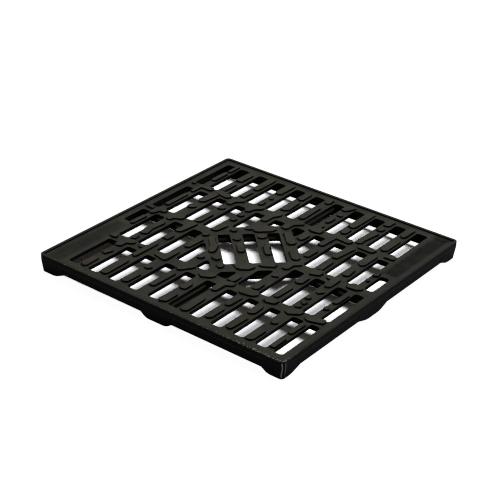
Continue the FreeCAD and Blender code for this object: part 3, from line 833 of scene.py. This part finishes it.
class Wire:                                       # one socket of a node tree
    def __init__(self, tree, socket=None):
        self.tree, self.socket = tree, socket

    def node(self, kind, settings=None, inputs=None, output=0):
        made = self.tree.nodes.new(kind)
        for name, value in (settings or {}).items():
            setattr(made, name, value)
        for name, value in (inputs or {}).items():
            if isinstance(value, Wire):
                self.tree.links.new(value.socket, made.inputs[name])
            else:
                made.inputs[name].default_value = value
        return Wire(self.tree, made.outputs[output])

    def calculate(self, operation, first, second):
        return self.node("ShaderNodeMath", {"operation": operation}, {0: first, 1: second})

    def __add__(self, other):
        return self.calculate("ADD", self, other)

    def __radd__(self, other):
        return self.calculate("ADD", other, self)

    def __sub__(self, other):
        return self.calculate("SUBTRACT", self, other)

    def __rsub__(self, other):
        return self.calculate("SUBTRACT", other, self)

    def __mul__(self, other):
        return self.calculate("MULTIPLY", self, other)

    def __rmul__(self, other):
        return self.calculate("MULTIPLY", other, self)

    def __abs__(self):
        return self.calculate("ABSOLUTE", self, 0.0)

    def sign(self):
        return self.calculate("SIGN", self, 0.0)

    def smaller(self, other):
        return self.calculate("MINIMUM", self, other)

    def larger(self, other):
        return self.calculate("MAXIMUM", self, other)

    def clamped(self, low, high):                 # 0 at low, 1 at high, straight between
        return self.node("ShaderNodeMapRange", {"clamp": True},
                         {"Value": self, "From Min": low, "From Max": high})

    def blend(self, first, second):               # the first colour where this is 0, the second where 1
        return self.node("ShaderNodeMix", {"data_type": "RGBA"}, {"Factor": self, 6: first, 7: second},
                         output=2)

    def noise(self, place, scale, detail, roughness=0.5):
        return self.node("ShaderNodeTexNoise", {}, {"Vector": place, "Scale": scale, "Detail": detail,
                                                    "Roughness": roughness})

    def axes(self):
        return [self.node("ShaderNodeSeparateXYZ", {}, {0: self}, output=k) for k in range(3)]


def newMaterial(name):
    material = bpy.data.materials.new(name)
    material.use_nodes = True
    material.node_tree.nodes.clear()
    return material, Wire(material.node_tree)


def finishMaterial(start, shader):
    output = start.tree.nodes.new("ShaderNodeOutputMaterial")
    start.tree.links.new(shader.socket, output.inputs["Surface"])


# the cast iron's black coat: colours, and places on it in millimetres

castIronLook = {
    "deep": (0.0150, 0.0155, 0.0115, 1),       # the olive black of the top in two shades
    "pale": (0.0430, 0.0435, 0.0345, 1),
    "side": (0.0075, 0.0076, 0.0084, 1),       # painted shade: upright faces are coloured nearly black
    # painted shade on the trays' floors, near black
    "tray": (0.0015, 0.0015, 0.0010, 1),
    "hollow": (0.0015, 0.0015, 0.0015, 1),     # painted deep shade on the pads' flanks and the slots' inner faces
    "lip": (0.0160, 0.0155, 0.0125, 1),
    "crown": (0.0450, 0.0400, 0.0305, 1),      # the pads' tops are a little browner
    "seam": (0.0380, 0.0380, 0.0390, 1),
    "scuff": (0.0260, 0.0270, 0.0330, 1),
    "rust": (0.0700, 0.0440, 0.0280, 1),
    "worn": (0.2600, 0.2450, 0.2100, 1),       # specks along the front edge
    "bare": (0.6200, 0.6300, 0.6500, 1),       # scratches on the front corner
    "specular": 0.04,
    "roughness": 0.50,
    "patches": 26.0,                           # the noises, in waves per metre, from wide to fine
    "broad": 95.0,
    "fleck": 520.0,
    "grain": 900.0,
    "seamLevel": 18.8,
    "scratches": ((-1.0, 0.8), (3.6, 0.6)),    # places across the front corner and half widths
}


def trayShadeShare(x, y, uneven):                      # how much painted shade a tray's floor gets: 1 on the right tray's floor, less on the left one's
    front, back = deckPlan["trayFrom"], deckPlan["trayTo"]
    side = x.sign()
    across = abs(abs(x) - casting["edgeSlot"])
    along = abs(y * side - (front + back) / 2)
    room = (deckPlan["trayWidth"] / 2 - across).smaller((back - front) / 2 - along)
    blurred = (room + 10.0 * (uneven - 0.5)).clamped(-1.0, 5.0)
    return blurred * (0.85 + 0.15 * side)


def cornerScratches(x, y, z, uneven, places):     # two pale upright scratches on the front corner
    across = (x + y) * math.sqrt(0.5) + 3.0 * (uneven - 0.5)
    atCorner = (x - y).clamped(392.0, 393.5) * z.clamped(1.5, 3.0) * (1 - z.clamped(22.5, 24.5))
    strong, faint = [1 - abs(across - place).clamped(0.5 * half, 1.6 * half) for place, half in places]
    return strong.larger(0.6 * faint) * atCorner


def castIronMaterial(look):
    material, start = newMaterial("castIron")
    place = start.node("ShaderNodeTexCoord", output="Object")
    x, y, z = [1000 * axis for axis in place.axes()]
    patches = start.noise(place, look["patches"], 5.0, 0.6)
    broad = start.noise(place, look["broad"], 3.0)
    fleck = start.noise(place, look["fleck"], 1.0)
    grain = start.noise(place, look["grain"], 3.0)
    upward = start.node("ShaderNodeNewGeometry", output="Normal").axes()[2].clamped(0.45, 0.9)
    outer = abs(x).larger(abs(y))                 # how far out, towards the nearest wall

    mottled = (0.45 * patches + 0.25 * broad + 0.3 * grain).clamped(0.33, 0.66)
    tint = mottled.blend(look["deep"], look["pale"])           # all that faces up
    crown = z.clamped(25.6, 25.9) * patches.clamped(0.3, 0.65)
    tint = (crown * 0.5).blend(tint, look["crown"])
    lip = outer.clamped(195.6, 196.4) * z.clamped(25.0, 25.4)
    tint = (lip * 0.85).blend(tint, look["lip"])
    # the trays' floors are painted near black as shade, softly edged and mottled
    tint = (trayShadeShare(x, y, broad) * (1.4 - patches)).blend(tint, look["tray"])
    rusty = fleck.clamped(0.63, 0.70) * patches.clamped(0.45, 0.62) * 0.55
    tint = rusty.blend(tint, look["rust"])

    # upright faces outside the walls take a painted shade, with real scuffs and a paler band along the
    # parting line
    scuffs = broad.clamped(0.62, 0.72) * fleck.clamped(0.4, 0.6) * outer.clamped(198.0, 198.4)
    side = (0.7 * scuffs).blend(look["side"], look["scuff"])
    seam = (1 - abs(z - look["seamLevel"]).clamped(0.5, 1.4)) * outer.clamped(198.8, 199.2)
    side = (0.8 * seam * broad.clamped(0.3, 0.6)).blend(side, look["seam"])
    # inside the walls' outer faces, upright faces get the deeper painted shade
    side = outer.clamped(196.5, 197.5).blend(look["hollow"], side)
    flankShade = z.clamped(23.84, 23.96) * (1 - z.clamped(25.3, 25.7))       # all that rises from the deck, which gets the painted shade
    # faces that don't face up, and all that rises from the deck, take the painted shade instead of the top's
    # tone
    tint = (upward * (1 - flankShade)).blend(side, tint)

    nearCorner = (x - y).clamped(235.0, 395.0)    # the front corner, where two walls meet
    atFrontEdge = (y * -1).clamped(195.5, 197.0).larger(nearCorner.clamped(0.8, 1) * x.clamped(196.0, 197.0))
    worn = (fleck + 0.16 * nearCorner).clamped(0.66, 0.82) * atFrontEdge * z.clamped(24.2, 25.0)
    tint = worn.blend(tint, look["worn"])
    tint = cornerScratches(x, y, z, broad, look["scratches"]).blend(tint, look["bare"])

    bump = start.node("ShaderNodeBump", {}, {
        "Height": grain + 0.8 * broad,
        "Strength": 0.4,
        "Distance": 0.0005,
    })
    shader = start.node("ShaderNodeBsdfPrincipled", {}, {
        "Base Color": tint,
        "Roughness": look["roughness"] + 0.12 * grain,
        "Normal": bump,
        "Specular IOR Level": look["specular"],
    })
    finishMaterial(start, shader)
    return material


# the ground and the sky: white to look at, dim as a light

def rayKinds(start):                              # which rays meet the ground or the sky
    return [start.node("ShaderNodeLightPath", output=name)
            for name in ("Is Camera Ray", "Is Glossy Ray", "Is Transmission Ray")]


def groundMaterial(plan):
    material, start = newMaterial("paleGround")
    seen, mirrored, through = rayKinds(start)
    x, y = start.node("ShaderNodeTexCoord", output="Object").axes()[:2]
    around = abs(x).larger(abs(y)).clamped(*plan["whiteFrom"])
    colour = (mirrored + through).clamped(0, 1).blend(plan["groundBounce"], plan["groundMirrored"])
    colour = seen.blend(colour, plan["groundSeen"])
    matt = start.node("ShaderNodeBsdfDiffuse", {}, {"Color": colour})
    white = start.node("ShaderNodeEmission", {}, {"Color": (1, 1, 1, 1), "Strength": 1.0})
    share = around * seen * plan["whiteShare"]
    finishMaterial(start, start.node("ShaderNodeMixShader", {}, {0: share, 1: matt, 2: white}))
    return material


def addGround(plan):
    deselectAll()
    bpy.ops.mesh.primitive_plane_add(size=plan["groundSize"])
    ground = bpy.context.object
    ground.name = "ground"
    ground.data.materials.append(groundMaterial(plan))


def setWorld(plan):
    world = bpy.data.worlds.new("softWhite")
    bpy.context.scene.world = world
    world.use_nodes = True
    world.node_tree.nodes.clear()
    start = Wire(world.node_tree)
    seen, mirrored, through = rayKinds(start)
    share = (seen + mirrored + through).clamped(0, 1)
    colour = share.blend(plan["skyLight"], plan["skySeen"])
    sky = start.node("ShaderNodeBackground", {}, {"Color": colour})
    output = world.node_tree.nodes.new("ShaderNodeOutputWorld")
    world.node_tree.links.new(sky.socket, output.inputs["Surface"])


bpy.context.scene.view_settings.view_transform = "Standard"
addCamera(cameraPlan)
addLamp("strip", lightPlan["strip"])
addGround(lightPlan)
setWorld(lightPlan)
castIron = castIronMaterial(castIronLook)
print("camera, lamp, ground, sky and material made")

makeDeck(deckPlan)
makeSquare(squarePlan)
makeRibs(ribPlan)
makeWalls(wallPlan)
makeFeet(feetPlan)
slotsAbove = joinAll([deckCutters(deckPlan), squareCutters(squarePlan)], "slotsAbove")
moveVertices(slotsAbove, lambda v: v.z > casting["deck"], (0, 0, 3))     # tall enough to cut the pads too
for name in strokes:
    makePads(name, padPlan)
bpy.data.objects.remove(slotsAbove)
